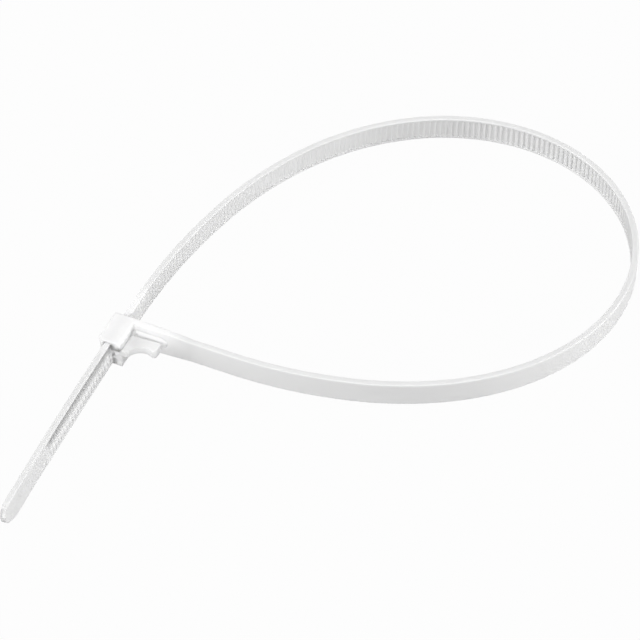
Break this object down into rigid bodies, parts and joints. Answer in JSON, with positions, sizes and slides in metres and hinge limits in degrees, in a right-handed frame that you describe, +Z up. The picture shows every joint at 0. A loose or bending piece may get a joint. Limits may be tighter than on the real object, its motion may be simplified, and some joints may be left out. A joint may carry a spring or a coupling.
{
  "type": "cable tie",
  "caption": "Releasable nylon cable tie closed into a loop, its toothed strap passed through the head beside a pawl with a release lever.",
  "frame": {"origin": "on the flat underside of the head, in line with the strap slot and halfway along it", "axes": "+Z up, across the strap's width; +X along the strap where it leaves the head; +Y along the slot into the loop, so the tail leaves the head towards -Y"},
  "size_m": [0.1263, 0.1899, 0.009],
  "materials": {
    "nylon": "satin"
  },
  "bodies": {
    "root": {"cable_tie": "nylon"}
  },
  "joints": []
}
